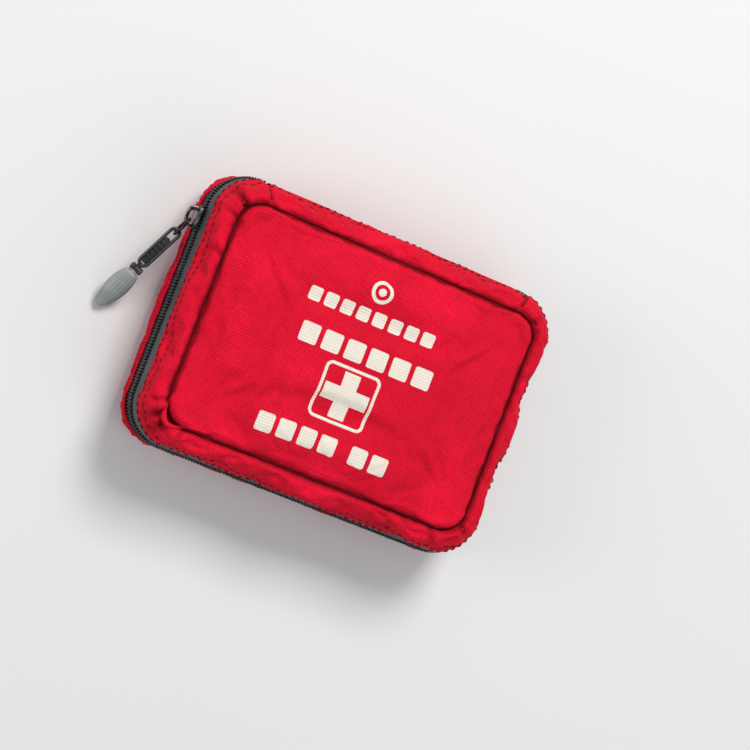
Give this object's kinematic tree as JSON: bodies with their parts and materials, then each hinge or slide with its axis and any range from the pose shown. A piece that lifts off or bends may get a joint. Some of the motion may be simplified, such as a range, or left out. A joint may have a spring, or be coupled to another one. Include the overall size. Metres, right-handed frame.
{
  "type": "first aid kit",
  "caption": "Soft zip-around first aid pouch of red ripstop cloth: two sewn trays hinged on a long edge, coil zip with a slotted pull, and bandages, packets, tweezers and scissors inside.",
  "frame": {"origin": "middle of the back panel's outer face, on which the kit lies", "axes": "+X along the long edges, +Y towards the spine that hinges the trays, +Z out of the front panel"},
  "size_m": [0.1748, 0.1134, 0.0459],
  "materials": {
    "red_ripstop": "ripstop weave, slight sheen",
    "zip_tape": "coated, satin",
    "zip_coil": "nylon coil",
    "slider_metal": "gunmetal, satin",
    "ring_wire": "black wire",
    "clip_plastic": "moulded",
    "grip_plastic": "soft moulded",
    "net": "knitted net",
    "elastic": "woven elastic",
    "crepe": "crepe cotton",
    "white_cotton": "cotton gauze",
    "tape_core": "moulded",
    "paper": "packet paper",
    "film": "packet film",
    "blade_steel": "brushed",
    "handle_plastic": "moulded"
  },
  "bodies": {
    "back_half": {"back_gusset": "red_ripstop", "back_panel": "red_ripstop", "back_piping": "red_ripstop", "back_zip_coil": "zip_coil", "back_zip_tape": "zip_tape", "conforming_bandage_roll": "white_cotton", "crepe_bandage_roll": "crepe", "leaflet": "paper", "plaster_stack": "crepe", "rolls_strap": "elastic", "safety_pin_1": "blade_steel", "safety_pin_2": "blade_steel", "spine_back": "red_ripstop", "spine_hinge_tape": "red_ripstop", "tape_core": "tape_core", "tape_roll": "white_cotton", "triangular_bandage_packet": "film", "wipe_sachet_1": "paper", "wipe_sachet_2": "film", "wound_dressing_packet": "paper", "zip_stop_left": "slider_metal", "zip_stop_right": "slider_metal"},
    "front_half": {"front_panel": "red_ripstop", "front_gusset": "red_ripstop", "front_piping": "red_ripstop", "front_zip_tape": "zip_tape", "front_zip_coil": "zip_coil", "spine_front": "red_ripstop", "net_pocket": "net", "net_binding": "elastic", "gloves_packet": "film", "gauze_packet_1": "paper", "gauze_packet_2": "paper", "tweezers": "blade_steel", "scissors_blade_fixed": "blade_steel", "scissors_handle_fixed": "handle_plastic", "scissors_rivet": "blade_steel", "scissors_loop": "elastic"},
    "slider": {"zip_slider": "slider_metal"},
    "ring": {"pull_ring": "ring_wire"},
    "pull": {"pull_clip": "clip_plastic", "pull_barrel": "clip_plastic", "pull_grip": "grip_plastic"},
    "scissor_arm": {"scissors_blade_moving": "blade_steel", "scissors_handle_moving": "handle_plastic"}
  },
  "joints": [
    {"name": "cover_hinge", "type": "hinge", "parent": "back_half", "child": "front_half", "pos_m": [0, 0.0576, 0.023], "axis": [-1, 0, 0], "range_deg": [0, 178], "deforming": ["spine_hinge_tape"]},
    {"name": "zip_slide", "type": "slide", "parent": "back_half", "child": "slider", "axis": [0, -1, 0], "range_m": [0, 0.064]},
    {"name": "pull_ring_hinge", "type": "hinge", "parent": "slider", "child": "ring", "pos_m": [-0.0791, 0.0316, 0.023], "axis": [0.1494, 0.3697, -0.9171], "range_deg": [-10, 100]},
    {"name": "pull_clip_hinge", "type": "hinge", "parent": "ring", "child": "pull", "pos_m": [-0.08205, 0.02429, 0.01957], "axis": [0.1494, 0.3697, -0.9171], "range_deg": [-8, 45]},
    {"name": "scissors_pivot", "type": "hinge", "parent": "front_half", "child": "scissor_arm", "pos_m": [0.006, -0.008, 0.0305], "axis": [0, 0, -1], "range_deg": [0, 30]}
  ]
}
